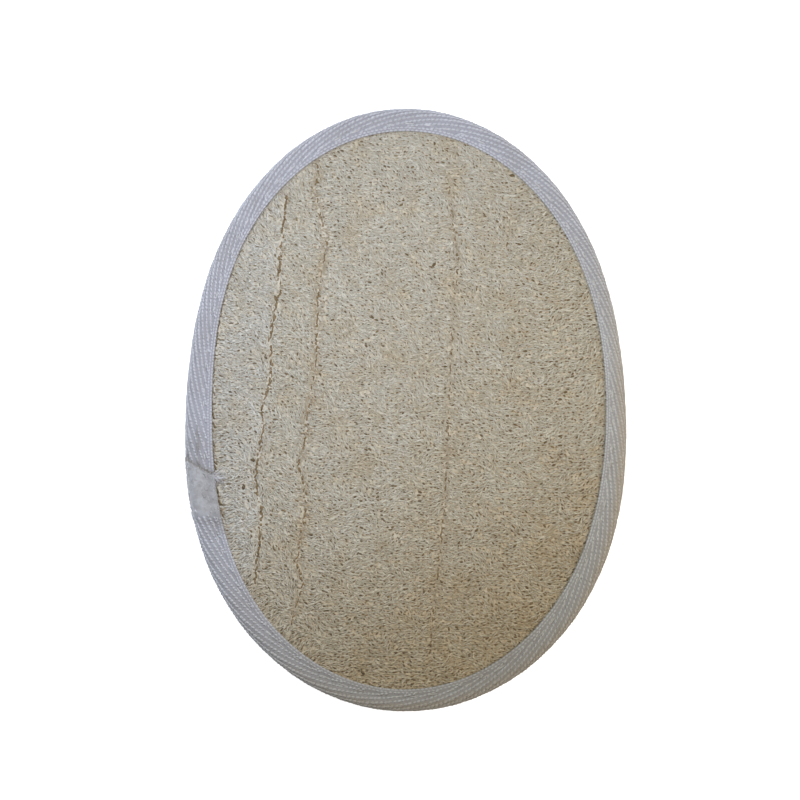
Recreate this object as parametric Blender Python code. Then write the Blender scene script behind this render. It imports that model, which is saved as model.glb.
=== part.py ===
"""Oval bath pad of pressed natural loofah, its edge bound with a folded cotton tape.

Units are metres and +Z is up. The pad lies on its back with its long axis along Y and its
face up. The origin is the middle of the small flat spot on the back.
Angles are measured round the origin, from +X towards +Y.
"""
import math
import random

import bmesh
import bpy
import numpy as np
from mathutils import Vector

MM = 0.001

# Outline, over the binding tape
WIDTH = 109.5 * MM
LENGTH = 150.0 * MM
EGG = 0.010
SQUARENESS = 0.0117

# Heights above the surface that the pad lies on
THICKNESS = 9.0 * MM
RIM_MIDDLE = 4.2 * MM
RIM_WAVE = 0.35 * MM
CROWN_POWER = 3.5

# Binding tape, folded over the edge
TAPE_THICKNESS = 1.0 * MM
TAPE_WIDTH = 5.4 * MM
TAPE_WIDTH_WAVES = (-0.7 * MM, -0.2 * MM, -0.35 * MM)
BOUND_THICKNESS = 6.0 * MM
FOLD_DEPTH = 1.5 * MM
LEG_CHAMFER = 0.3 * MM
TAPE_STATIONS = 88

# Lap where the end of the tape is turned under and sewn down over its start
LAP_START = math.radians(192.2)
LAP_END = math.radians(206.0)
LAP_SLANT = math.radians(5.3)
LAP_STEP = math.radians(0.8)
LAP_THICKNESS = 0.7 * MM
LAP_OUTSIDE = 0.3
LAP_BELOW = 0.5

# Seam that holds the tape
SEAM_INSET = 1.9 * MM
SEAM_GROOVE = 0.5 * MM
SEAM_HALF_WIDTH = 0.8 * MM
STITCH_COUNT = 98
THREAD_RADIUS = 0.22 * MM
THREAD_LOW = 0.13 * MM
THREAD_RISE = 0.12 * MM

# Loofah pad inside the tape
CLEARANCE = 0.3 * MM
PAD_INSET = 1.75 * MM
PAD_END_HALF = 1.2 * MM
FACE_SETBACK = 1.5 * MM
FACE_EDGE_HALF = 2.6 * MM

# Where the back touches the surface: a flat spot, and three low knots (x, y) round it
REST_SPOT = 0.16
REST_KNOTS = ((0.0, 30.0), (-24.0, -16.0), (24.0, -16.0))
BACK_RISE = 0.3 * MM

# Raised net on both faces of the loofah
CELLS_ACROSS = 22
CELLS_ALONG = 42
STAGGER = 0.25
JITTER = 0.18
SWIRL = 1.6 * MM
SWIRL_LENGTH = 42.0 * MM
RIDGE_UNEVENNESS = 0.2 * MM
PIT_DEPTH = 1.7 * MM
NET_SEED = 7

# Long creases in the face: depth, then (x, y) from the top end down
CREASE_HALF_WIDTH = 1.3 * MM
CREASE_SNAP = 0.7 * MM
CREASE_END = 0.95
CREASES = (
    (2.3 * MM, ((-29.3, 54.0), (-30.3, 46.1), (-31.3, 35.4), (-33.0, 21.7), (-33.5, 7.5),
                (-35.0, -3.0), (-37.3, -14.4), (-35.8, -24.4), (-37.5, -43.8))),
    (1.9 * MM, ((-21.3, 60.5), (-22.6, 54.5), (-19.6, 41.3), (-21.8, 29.6), (-22.1, 13.2),
                (-23.8, 0.0), (-26.8, -12.7), (-24.6, -24.9), (-27.1, -37.6), (-28.6, -53.8))),
    (1.3 * MM, ((9.8, 61.5), (13.0, 37.1), (11.3, 14.7), (9.8, -21.9), (5.3, -66.7))),
    (1.0 * MM, ((26.4, 53.0), (25.0, 39.1))),
)


def clear_scene():
    for old in list(bpy.data.objects):
        bpy.data.objects.remove(old, do_unlink=True)


def outline_radius(angle):
    """Distance from the origin to the outer edge: a slightly squarish, egg-shaped oval."""
    half_width = WIDTH / 2
    half_length = LENGTH / 2
    across = half_length * math.cos(angle)
    along = half_width * math.sin(angle)
    oval = half_width * half_length / math.hypot(across, along)
    egg = EGG * (math.sin(angle) + math.sin(3 * angle))
    square = SQUARENESS * (1 - math.cos(4 * angle))
    return oval * (1 - egg + square)


def radial(angle, inset):
    """Distance from the origin to a line that runs an inset inside the outer edge."""
    step = 0.001
    change = outline_radius(angle + step) - outline_radius(angle - step)
    slope = change / (2 * step * outline_radius(angle))
    return outline_radius(angle) - inset * math.hypot(1, slope)


def rim_height(angle):
    """Height of the middle of the bound edge, which waves a little and is highest at the lap."""
    return RIM_MIDDLE + RIM_WAVE * math.cos(2 * (angle - LAP_START))


def rim_point(angle, inset, height):
    """A point at an inset from the outer edge and a height from the middle of the edge."""
    distance = radial(angle, inset)
    x = distance * math.cos(angle)
    y = distance * math.sin(angle)
    return Vector((x, y, rim_height(angle) + height))


def tape_width(angle):
    """Width of the tape's turned-over leg, which was sewn on by hand and eye."""
    once, twice, thrice = TAPE_WIDTH_WAVES
    waves = once * math.sin(angle) + twice * math.sin(2 * angle) + thrice * math.sin(3 * angle)
    return TAPE_WIDTH + waves


def loft_ring(bm, sections):
    """Join closed sections, each a list of points, into one ring that closes on itself."""
    rings = [[bm.verts.new(point) for point in section] for section in sections]
    for ring, following in zip(rings, rings[1:] + rings[:1]):
        for start in range(len(ring)):
            end = (start + 1) % len(ring)
            bm.faces.new((ring[start], ring[end], following[end], following[start]))
    bmesh.ops.recalc_face_normals(bm, faces=bm.faces)


def outer_contour(width, lap):
    """Outside of the folded tape from its upper inner end to its lower one."""
    top = BOUND_THICKNESS / 2
    seam = width - SEAM_INSET
    upper = [
        (width, top - LEG_CHAMFER),
        (width - LEG_CHAMFER, top + lap),
        (seam + SEAM_HALF_WIDTH, top + lap),
        (seam, top - SEAM_GROOVE + lap),
        (seam - SEAM_HALF_WIDTH, top + lap),
    ]
    for degrees in (70, 40):
        turn = math.radians(degrees)
        inset = FOLD_DEPTH - (FOLD_DEPTH + lap * LAP_OUTSIDE) * math.cos(turn)
        upper.append((inset, (top + lap) * math.sin(turn)))
    lower = [(inset, -height + (height > top) * lap * LAP_BELOW) for inset, height in upper]
    return upper + [(-lap * LAP_OUTSIDE, 0)] + lower[::-1]


def inner_contour(width):
    """Inside of the fold from its lower inner end to its upper one."""
    top = BOUND_THICKNESS / 2 - TAPE_THICKNESS
    lower = [(width, -top), (2 * TAPE_THICKNESS, -top), (1.15 * TAPE_THICKNESS, -top * 0.55)]
    upper = [(inset, -height) for inset, height in lower[::-1]]
    return lower + [(TAPE_THICKNESS, 0)] + upper


def tape_section(angle, slant, lap):
    """One section round the folded tape, leaning with the slanted end of the lap."""
    points = []
    for inset, height in outer_contour(tape_width(angle), lap) + inner_contour(tape_width(angle)):
        turned = angle + slant * max(inset, 0) / TAPE_WIDTH
        points.append(rim_point(turned, inset, height))
    return points


def tape_stations():
    """Angle, slant and lap thickness of every section, closer together at the lap's two ends."""
    stations = [
        (LAP_START - LAP_STEP, LAP_SLANT, 0),
        (LAP_START, LAP_SLANT, LAP_THICKNESS),
        (LAP_END - 2 * LAP_STEP, 0, LAP_THICKNESS),
        (LAP_END, 0, 0),
    ]
    middle = (LAP_START + LAP_END) / 2
    stations.insert(2, (middle, LAP_SLANT / 2, LAP_THICKNESS))
    spread = 2 * math.pi - (LAP_END - LAP_START) - LAP_STEP
    for index in range(1, TAPE_STATIONS):
        share = index / TAPE_STATIONS
        lean = LAP_SLANT * max(0, share * 10 - 9)
        stations.append((LAP_END + spread * share, lean, 0))
    return stations


def binding_tape(bm):
    loft_ring(bm, [tape_section(*station) for station in tape_stations()])


def lap_at(angle):
    """Lap thickness under the seam at an angle."""
    start = LAP_START + LAP_SLANT * (1 - SEAM_INSET / TAPE_WIDTH)
    ends = (start - 2 * LAP_STEP, start - LAP_STEP, LAP_END, LAP_END + LAP_STEP)
    levels = (0, LAP_THICKNESS, LAP_THICKNESS, 0)
    return float(np.interp(angle % (2 * math.pi), ends, levels))


def stitch_ring(bm, side):
    """Sewing thread in the seam groove, higher in each stitch's middle than at its holes."""
    sections = []
    for index in range(2 * STITCH_COUNT):
        angle = math.pi * index / STITCH_COUNT
        lap = lap_at(angle) * (1 if side > 0 else LAP_BELOW)
        height = BOUND_THICKNESS / 2 + lap + THREAD_LOW + THREAD_RISE * (index % 2)
        inset = tape_width(angle) - SEAM_INSET
        around = [(THREAD_RADIUS, 0), (0, THREAD_RADIUS), (-THREAD_RADIUS, 0), (0, -THREAD_RADIUS)]
        sections.append([rim_point(angle, inset + over, side * height + up) for over, up in around])
    loft_ring(bm, sections)


def face_reach(angle):
    """Distance from the origin to where the loofah's face meets its slope into the tape."""
    return radial(angle, tape_width(angle) + FACE_SETBACK)


def crease_depth(x, y):
    """How deep the creases are at a point of the face."""
    deepest = 0.0
    for depth, points in CREASES:
        across = crease_x(points, y)
        if across is not None:
            near = math.exp(-(((x - across) / CREASE_HALF_WIDTH) ** 2))
            deepest = max(deepest, depth * near)
    return deepest


def crease_x(points, y):
    """Where a crease crosses the height y, or None past its ends."""
    top_down = [point[1] * MM for point in points]
    if not top_down[-1] <= y <= top_down[0]:
        return None
    return float(np.interp(y, top_down[::-1], [point[0] * MM for point in points][::-1]))


def face_height(x, y, side):
    """Height of the crowned upper face (side 1) or of the flatter back (side -1)."""
    angle = math.atan2(y, x)
    share = min(1, math.hypot(x, y) / face_reach(angle))
    middle = RIM_MIDDLE + (rim_height(angle) - RIM_MIDDLE) * share ** 2
    crown = 1 - share ** CROWN_POWER
    if side > 0:
        rise = THICKNESS - RIM_MIDDLE - FACE_EDGE_HALF
        return middle + FACE_EDGE_HALF + rise * crown - crease_depth(x, y)
    if share < REST_SPOT:
        return 0
    fall = RIM_MIDDLE - FACE_EDGE_HALF - BACK_RISE
    return middle - FACE_EDGE_HALF - fall * crown


def place_on_oval(u, v):
    """Where a point of the square grid, from -1 to 1 each way, lies on the oval face."""
    across = u * math.sqrt(1 - v * v / 2)
    along = v * math.sqrt(1 - u * u / 2)
    angle = math.atan2(LENGTH * along, WIDTH * across)
    distance = math.hypot(across, along) * face_reach(angle)
    return distance * math.cos(angle), distance * math.sin(angle)


def loosen_grid(rows, rng):
    """Stagger the rows at random and shift each knot of the net a little."""
    cell_across = 2 / CELLS_ACROSS
    cell_along = 2 / CELLS_ALONG
    for row in rows[1:-1]:
        stagger = rng.uniform(-STAGGER, STAGGER)
        for knot in row[1:-1]:
            knot.co.x += (stagger + rng.uniform(-JITTER, JITTER)) * cell_across
            knot.co.y += rng.uniform(-JITTER, JITTER) * cell_along


def swirl(x, y):
    """Shift a point with the slow swirls of the fibres, which die out at the border."""
    inside = 1 - min(1, math.hypot(x, y) / face_reach(math.atan2(y, x))) ** 2
    turn_x = 2 * math.pi * x / SWIRL_LENGTH
    turn_y = 2 * math.pi * y / SWIRL_LENGTH
    across = math.sin(0.6 * turn_y + math.sin(0.5 * turn_x))
    short_wave = math.sin(turn_x + 1.3 * math.sin(0.7 * turn_y))
    long_wave = math.sin(0.45 * turn_x + 0.8 * turn_y)
    return x + SWIRL * inside * across, y + SWIRL * inside * (short_wave + 0.6 * long_wave)


def beside_crease(faces, top, end):
    """Faces of the net, away from its border, level with one straight part of a crease."""
    beside = []
    for face in faces:
        place = face.calc_center_median()
        reach = CREASE_END * face_reach(math.atan2(place.y, place.x))
        if end.y < place.y <= top.y and place.xy.length < reach:
            beside.append(face)
    return beside


def cut_creases(bm):
    """Cut the net along each crease of the face, so that the creases are sharp."""
    for _, points in CREASES:
        line = [Vector((x * MM, y * MM, 0)) for x, y in points]
        for top, end in zip(line, line[1:]):
            faces = beside_crease(bm.faces, top, end)
            edges = dict.fromkeys(edge for face in faces for edge in face.edges)
            knots = dict.fromkeys(knot for face in faces for knot in face.verts)
            bmesh.ops.bisect_plane(
                bm,
                geom=[*knots, *edges, *faces],
                dist=CREASE_SNAP,
                plane_co=top,
                plane_no=(end - top).cross((0, 0, 1)).normalized(),
                use_snap_center=True,
            )


def raise_face(cells, rng):
    """Set the heights of the face's knots."""
    for knot in dict.fromkeys(knot for cell in cells for knot in cell.verts):
        sunk = 0 if knot.is_boundary else rng.uniform(0, RIDGE_UNEVENNESS)
        knot.co.z = face_height(knot.co.x, knot.co.y, 1) - sunk


def lower_back(knots, rng):
    """Set the heights of the back's knots, and bring three of them down to the surface."""
    for knot in knots:
        height = face_height(knot.co.x, knot.co.y, -1)
        sunk = 0 if height == 0 or knot.is_boundary else rng.uniform(0, RIDGE_UNEVENNESS)
        knot.co.z = height + sunk
    for x, y in REST_KNOTS:
        place = Vector((x * MM, y * MM))
        nearest = min(knots, key=lambda knot: (knot.co.xy - place).length)
        nearest.co.z = 0


def net_sheet(bm, side, rng):
    """One face of the loofah: a loose net of knots over the oval, and its cells."""
    others = set(bm.faces)
    made = bmesh.ops.create_grid(bm, x_segments=CELLS_ACROSS, y_segments=CELLS_ALONG, size=1)
    knots = sorted(made["verts"], key=lambda knot: (round(knot.co.y, 5), knot.co.x))
    per_row = CELLS_ACROSS + 1
    rows = [knots[start:start + per_row] for start in range(0, len(knots), per_row)]
    loosen_grid(rows, rng)
    for knot in knots:
        knot.co.x, knot.co.y = swirl(*place_on_oval(knot.co.x, knot.co.y))
    if side > 0:
        cut_creases(bm)
        raise_face(bm.faces, rng)
    else:
        lower_back(knots, rng)
    return [cell for cell in bm.faces if cell not in others]


def slope_into_tape(bm, cells, side):
    """Carry a face's border down into the fold of the tape, and return the last ring's edges."""
    net = set(cells)
    border = [edge for edge in bm.edges if edge.is_boundary and net.issuperset(edge.link_faces)]
    slot_half = BOUND_THICKNESS / 2 - TAPE_THICKNESS - CLEARANCE
    for inset, half in ((None, slot_half), (PAD_INSET, PAD_END_HALF)):
        grown = bmesh.ops.extrude_edge_only(bm, edges=border)["geom"]
        border = [item for item in grown if isinstance(item, bmesh.types.BMEdge)]
        for vertex in {vertex for edge in border for vertex in edge.verts}:
            angle = math.atan2(vertex.co.y, vertex.co.x)
            reach = tape_width(angle) + CLEARANCE if inset is None else inset
            vertex.co = rim_point(angle, reach, side * half)
    return border


def press_pits(bm, cells, side, rng):
    """Poke a pit into each cell of the net, deeper in a larger cell."""
    typical = sum(cell.calc_area() for cell in cells) / len(cells)
    pits = [cell for cell in cells if max(knot.co.z for knot in cell.verts) > 0]
    depths = [PIT_DEPTH * min(1.2, cell.calc_area() / typical) for cell in pits]
    centres = bmesh.ops.poke(bm, faces=pits)["verts"]
    for centre, depth in zip(centres, depths):
        centre.co.z -= side * depth * rng.uniform(0.8, 1.1)


def loofah_pad(bm):
    rng = random.Random(NET_SEED)
    rims = []
    sheets = []
    for side in (1, -1):
        cells = net_sheet(bm, side, rng)
        rims += slope_into_tape(bm, cells, side)
        sheets.append((side, cells))
    bmesh.ops.bridge_loops(bm, edges=rims)
    for side, cells in sheets:
        press_pits(bm, cells, side, rng)
    bmesh.ops.recalc_face_normals(bm, faces=bm.faces)


def material(name, colour, roughness):
    made = bpy.data.materials.new(name)
    made.use_nodes = True
    shader = made.node_tree.nodes["Principled BSDF"]
    shader.inputs["Base Color"].default_value = (*colour, 1)
    shader.inputs["Roughness"].default_value = roughness
    shader.inputs["Metallic"].default_value = 0
    return made


def add_piece(collection, name, build, finish):
    """Run a builder on an empty mesh and put the result in the collection as one object."""
    bm = bmesh.new()
    build(bm)
    mesh = bpy.data.meshes.new(name)
    bm.to_mesh(mesh)
    bm.free()
    mesh.materials.append(finish)
    mesh.shade_smooth()
    mesh.set_sharp_from_angle(angle=math.radians(40))
    piece = bpy.data.objects.new(name, mesh)
    collection.objects.link(piece)
    return piece


def main():
    clear_scene()
    collection = bpy.data.collections.new("oval_loofah_bath_pad")
    bpy.context.scene.collection.children.link(collection)
    fibre = material("loofah_fibre", (0.53, 0.46, 0.34), 0.85)
    cotton = material("cotton_tape", (0.56, 0.56, 0.58), 0.9)
    thread = material("cotton_thread", (0.62, 0.62, 0.63), 0.8)
    add_piece(collection, "loofah_pad", loofah_pad, fibre)
    add_piece(collection, "binding_tape", binding_tape, cotton)
    add_piece(collection, "needle_thread", lambda bm: stitch_ring(bm, 1), thread)
    add_piece(collection, "bobbin_thread", lambda bm: stitch_ring(bm, -1), thread)


main()
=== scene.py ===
"""Looks of the oval loofah bath pad: felted fibres, pores and creases, and its sewn cotton tape.

Everything is in metres and radians in the frame of the CAD model, with angles that run round
the origin from +X towards +Y. Only the tables of points and the camera's sensor are in
millimetres.
"""
import math

import bmesh
import bpy
import numpy as np
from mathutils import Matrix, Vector


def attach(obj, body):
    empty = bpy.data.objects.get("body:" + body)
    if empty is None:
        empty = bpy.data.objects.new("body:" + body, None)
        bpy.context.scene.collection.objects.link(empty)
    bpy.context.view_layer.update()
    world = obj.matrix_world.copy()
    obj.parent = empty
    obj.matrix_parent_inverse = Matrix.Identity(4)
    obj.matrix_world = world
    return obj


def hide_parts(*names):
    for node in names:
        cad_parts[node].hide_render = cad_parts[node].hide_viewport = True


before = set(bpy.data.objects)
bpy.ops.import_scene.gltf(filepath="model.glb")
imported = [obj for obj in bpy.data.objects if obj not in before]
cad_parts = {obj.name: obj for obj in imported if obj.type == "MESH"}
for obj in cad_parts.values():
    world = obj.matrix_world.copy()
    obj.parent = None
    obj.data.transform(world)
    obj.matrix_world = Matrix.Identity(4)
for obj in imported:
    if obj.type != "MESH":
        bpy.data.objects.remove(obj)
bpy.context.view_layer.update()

MM = 0.001

# The pad's own measures, the same as in the CAD source
HALF_WIDTH = 54.75 * MM
HALF_LENGTH = 75.0 * MM
EGG = 0.010
SQUARENESS = 0.0117
THICKNESS = 9.0 * MM
RIM_MIDDLE = 4.2 * MM
RIM_WAVE = 0.35 * MM
CROWN_POWER = 3.5
BOUND_HALF = 3.0 * MM
FOLD_DEPTH = 1.5 * MM
LAP_START = math.radians(192.2)
LAP_END = math.radians(206.0)
LAP_SLANT = math.radians(5.3)
LAP_THICKNESS = 0.7 * MM
LAP_OUTSIDE = 0.3
LAP_BELOW = 0.5
SEAM_INSET = 1.9 * MM
STITCH_COUNT = 98
FACE_SETBACK = 1.5 * MM
FACE_EDGE_HALF = 2.6 * MM

# The tape: its seen width, which wanders a little more than in the CAD source, the angles over
# which it steps up onto the lap and slants, how far out the lap lies, its seam and its cloth
TAPE_WIDTH = 5.66 * MM
TAPE_WIDTH_SINES = (-0.45 * MM, -0.08 * MM, -0.52 * MM)
TAPE_WIDTH_COSINES = (-0.57 * MM, 0.06 * MM, -0.28 * MM)
TAPE_THICKNESS = 0.65 * MM
TAPE_GIRTH = 397.0 * MM
TAPE_CLEARANCE = 0.15 * MM
LAP_STEP = 0.045
LAP_EASE = 0.6
LAP_DISTANCE = 54.0 * MM
SEAM_HALF_WIDTH = 0.75 * MM
SEAM_DEPTH = 0.18 * MM
STITCH_PULL = 0.2 * MM
EDGE_DROP = 0.22 * MM
EDGE_FALL = 0.35 * MM
PUCKER = 0.05 * MM
YARN_PITCH = 0.95 * MM
WEAVE_ROWS = 12
EDGE_ROWS = 2
EDGE_WIDTH = 1.25 * MM
SLIT_LINES = 22
FOLD_LINES = 9

# A yarn's half length, lean across the tape, half width and lift, and how it changes from end
# to end
TWILL_YARN = (0.45 * MM, 0.2 * MM, 0.35 * MM, 0.05 * MM)
EDGE_YARN = (0.5 * MM, 0.0, 0.3 * MM, -0.05 * MM)
STITCH_YARN = (1.5 * MM, 0.08 * MM, 0.19 * MM, 0.06 * MM)
YARN_BEND = (-0.13 * MM, 0.02 * MM, -0.13 * MM)
YARN_TAPER = (0.6, 1.0, 0.6)

# The felt, and how far its parts reach under the tape and down towards the table
FELT_DEPTH = 0.3 * MM
FACE_DROP = 0.2 * MM
FACE_SWELL = 0.16 * MM
SLOT_HALF = 2.25 * MM
BACK_LEVEL = 0.45 * MM
GROUND_TUCK = 1.2 * MM
FIBRE_TUCK = 1.0 * MM
PORE_TUCK = 0.5 * MM
LOWEST_FIBRE = 0.18 * MM
LOWEST_PORE = 0.1 * MM

# The loose fibres: how many to a piece, how many points to each, and how they lie
FACE_LAYERS = ("fibres_a", "fibres_b", "fibres_c")
FACE_COUNT = 11900
BACK_COUNT = 5600
FIBRE_RINGS = 3
FIBRE_CURL = 420
FACE_FIBRES = {
    "length": (1.0 * MM, 2.0 * MM),
    "half_width": (0.11 * MM, 0.165 * MM),
    "sunk": (0.0, 0.12 * MM),
    "astray": 0.45,
}
BACK_FIBRES = {
    "length": (2.2 * MM, 4.2 * MM),
    "half_width": (0.15 * MM, 0.22 * MM),
    "sunk": (0.0, 0.25 * MM),
    "astray": 0.5,
}

# The fibres' lean across the pad, at places in millimetres, in its upper and its lower part
LEAN_ACROSS = (-50.0, -42.0, -31.0, -20.0, 2.0, 12.0, 23.0, 34.0, 46.0)
LEAN_ABOVE = (-0.2, -0.3, -0.65, -0.5, -0.42, -0.5, -0.42, 0.05, 0.4)
LEAN_BELOW = (-0.8, -0.8, -0.85, -0.25, 0.1, 0.0, -0.35, -0.2, 0.0)

# The pores, with a coarse grid of cells that tells which pores are near a place
PORE_PITCH = 0.95 * MM
BACK_PORE_PITCH = 1.5 * PORE_PITCH
PORE_FIELD = (112 * MM, 152 * MM)
BIG_PORES = ((-38.0, -12.4), (-40.2, -19.2), (26.5, 58.3), (-10.6, -65.2), (7.0, 36.0))
BIG_PORE_HALVES = (0.75 * MM, 0.42 * MM)
PORE_LIP = 0.13 * MM
PORE_CLEAR = 0.06 * MM
FARTHEST_PUSH = 0.42 * MM
OPEN_DARKNESS = 0.2
CELL = 2.2 * MM
CELL_ROOM = 10
CELL_COLUMNS = 64
CELL_ROWS = 80

# The gap between the loofah and the tape, open down the left side, where slots of painted shadow
# show it
GAP_START = math.radians(128)
GAP_END = math.radians(216)

# The creases: how strong each is, and the points that it runs through from top to bottom
CREASE_FADE = 6 * MM
CREASE_DEPTH = 0.3 * MM
CREASE_HALF_WIDTH = 0.9 * MM
CREASE_SLOPE = 0.8
CREASE_SLOPE_WIDTH = 5 * MM
CREASES = (
    (1.0, ((-29.3, 54.8), (-30.3, 46.1), (-31.3, 38.7), (-31.3, 35.6), (-31.7, 34.1),
           (-31.2, 30.3), (-31.1, 28.6), (-32.1, 28.0), (-32.6, 22.3), (-33.8, 17.0),
           (-33.2, 14.5), (-33.7, 13.2), (-33.3, 11.3), (-33.5, 7.5), (-35.8, 0.4),
           (-35.5, -1.3), (-34.7, -3.4), (-35.4, -4.6), (-36.3, -10.9), (-37.2, -15.0),
           (-37.3, -17.5), (-36.7, -21.3), (-35.8, -24.2), (-35.8, -26.8), (-36.3, -32.4),
           (-37.5, -43.8))),
    (0.55, ((-21.3, 62.5), (-22.6, 54.5), (-19.6, 41.3), (-21.8, 29.6), (-22.1, 13.2),
            (-23.9, 1.5), (-25.0, -3.2), (-24.2, -4.8), (-24.9, -7.0), (-25.4, -10.5),
            (-26.9, -13.7), (-25.6, -16.9), (-24.8, -21.1), (-25.4, -23.4), (-24.8, -24.7),
            (-27.1, -37.6), (-25.6, -43.1), (-28.6, -53.8))),
    (0.3, ((9.8, 61.5), (13.0, 37.1), (11.3, 14.7), (9.8, -21.9), (5.3, -66.7))),
    (0.25, ((26.4, 53.0), (25.0, 39.1))),
)

# Corners of the strands' sections, aside and over, in half widths
TRIANGLE = ((1.0, -0.3), (0.0, 0.6), (-1.0, -0.3))
DIAMOND = ((1.0, 0.0), (0.0, 0.62), (-1.0, 0.0), (0.0, -0.5))

# Colours of the loofah: at the left, at the right and, for two of them, at the low wide end
# The right tones are yellower by fibre colour and painted warm light, the low end ones darker
# and browner by painted shade
TONES = {
    "pale": ((0.597, 0.598, 0.583), (0.561, 0.534, 0.451), (0.432, 0.354, 0.219)),
    "straw": ((0.507, 0.484, 0.44), (0.451, 0.40, 0.301), (0.333, 0.255, 0.137)),
}
BROWNS = ((0.22, 0.18, 0.115), (0.215, 0.145, 0.065))
# Painted shade deep in the pores, and the paler strands in it
PORE_DEPTHS = ((0.085, 0.075, 0.055), (0.10, 0.065, 0.028))
PORE_STRANDS = (0.19, 0.135, 0.07)
RUSTS = ((0.17, 0.105, 0.04), (0.40, 0.28, 0.14))
TAN = (0.96, 0.885, 0.77)
# Brown of painted shade and stain on the fibres
SHADE_AND_STAIN = (0.34, 0.24, 0.13)
WHITE = (1.0, 1.0, 1.0)

# Colours of the cotton: the clean and the worn tone of each, and what lies on them
YARN_TONES = ((0.485, 0.505, 0.585), (0.405, 0.41, 0.46))
# The cloth between the yarns, darker with painted shade
SUNK_SHADE_TONES = ((0.29, 0.30, 0.36), (0.25, 0.25, 0.285))
THREAD_TONES = ((0.53, 0.535, 0.59), (0.45, 0.445, 0.47))
# Tints of painted warm light towards the lower right
CLEAN_WARM_LIGHT = (0.96, 0.925, 0.755)
WORN_WARM_LIGHT = (0.92, 0.865, 0.705)
FELTED_TONES = ((0.40, 0.415, 0.455), (0.29, 0.295, 0.315))
FUZZ = (0.25, 0.25, 0.27)
# Painted shade along the tape's rounded outer edge
EDGE_SHADE = (0.34, 0.27, 0.18)
# Painted shade and dirt on the tape
SHADE_AND_DIRT = (0.15, 0.14, 0.13)
LOW_SHADE = (0.10, 0.085, 0.045)

# The studio: each light's place, colour, power and size, and the camera straight above
LIGHTS = {
    "window": ((-0.05, 0.065, 0.19), (0.93, 0.965, 1.0), 0.435, 0.15),
    "lamp": ((0.20, -0.04, 0.22), (1.0, 0.90, 0.77), 0.40, 0.15),
}
ROOM_LIGHT = 0.2
FLOOR_TONES = ((0.93, 0.93, 0.93), (0.91, 0.91, 0.91))
FLOOR_GLOW = 0.85
FLOOR_HALF = 3.0
CAMERA_PLACE = (-1.42 * MM, 2.49 * MM)
CAMERA_HEIGHT = 0.9
CAMERA_LEVEL = 4 * MM
SEEN_WIDTH = 199.17 * MM
SENSOR_WIDTH = 36

# Random numbers with a fixed seed. Some are passed over after the waves, because the pores and
# the fibres were matched to the photo with the numbers that come after those
PASSED_OVER = 18
rng = np.random.default_rng(5)


# Shape of the pad


def outline(angle):
    """Distance from the origin to the outer edge of the tape."""
    oval = HALF_WIDTH * HALF_LENGTH
    oval = oval / np.hypot(HALF_LENGTH * np.cos(angle), HALF_WIDTH * np.sin(angle))
    egg = EGG * (np.sin(angle) + np.sin(3 * angle))
    return oval * (1 - egg + SQUARENESS * (1 - np.cos(4 * angle)))


def reach(angle, inset):
    """Distance from the origin to a line that runs an inset inside the outer edge."""
    step = 0.001
    slope = (outline(angle + step) - outline(angle - step)) / (2 * step * outline(angle))
    return outline(angle) - inset * np.hypot(1, slope)


def rim_height(angle):
    return RIM_MIDDLE + RIM_WAVE * np.cos(2 * (angle - LAP_START))


def tape_width(angle):
    """Seen width of the tape."""
    width = TAPE_WIDTH
    for turns, (sine, cosine) in enumerate(zip(TAPE_WIDTH_SINES, TAPE_WIDTH_COSINES), 1):
        width = width + sine * np.sin(turns * angle) + cosine * np.cos(turns * angle)
    return width


def inside_edge(x, y, tuck=0.0):
    """How far each point lies inside a line that runs a tuck under the tape from its inner
    edge."""
    angle = np.arctan2(y, x)
    return reach(angle, tape_width(angle) - tuck) - np.hypot(x, y)


def ease(value, start, end):
    """0 where the value is at the start or before it, 1 from the end on, eased between."""
    share = np.clip((value - start) / (end - start), 0, 1)
    return share * share * (3 - 2 * share)


def bell(distance, width):
    """1 at no distance, and soon nothing past the width."""
    return np.exp(-((distance / width) ** 2))


def random_waves(count, shortest, longest):
    """Directions, lengths and phases of a few waves that together wander gently."""
    turn = rng.uniform(0, math.tau, count)
    number = math.tau / rng.uniform(shortest, longest, count)
    return number * np.cos(turn), number * np.sin(turn), rng.uniform(0, math.tau, count)


def wander(waves, x, y):
    """Sum of the waves at each point, mostly between -1 and 1."""
    total = 0
    for along, up, phase in zip(*waves):
        total = total + np.sin(along * x + up * y + phase)
    return total / math.sqrt(len(waves[0]))


SWELL = random_waves(5, 11 * MM, 26 * MM)
DRIFT = random_waves(7, 4.5 * MM, 12 * MM)
rng.bit_generator.advance(PASSED_OVER)


def crease_line(points):
    """A crease's places across and up the pad, from its lower end up."""
    return np.array(points[::-1]).T * MM


def crease_gaps(x, y):
    """For each crease: its strength, its strength here and the distance across to it."""
    gaps = []
    for strength, points in CREASES:
        across, up = crease_line(points)
        fading = ease(y, up[-1], up[-1] - CREASE_FADE) * ease(y, up[0], up[0] + CREASE_FADE)
        gaps.append((strength, strength * fading, x - np.interp(y, up, across)))
    return gaps


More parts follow.
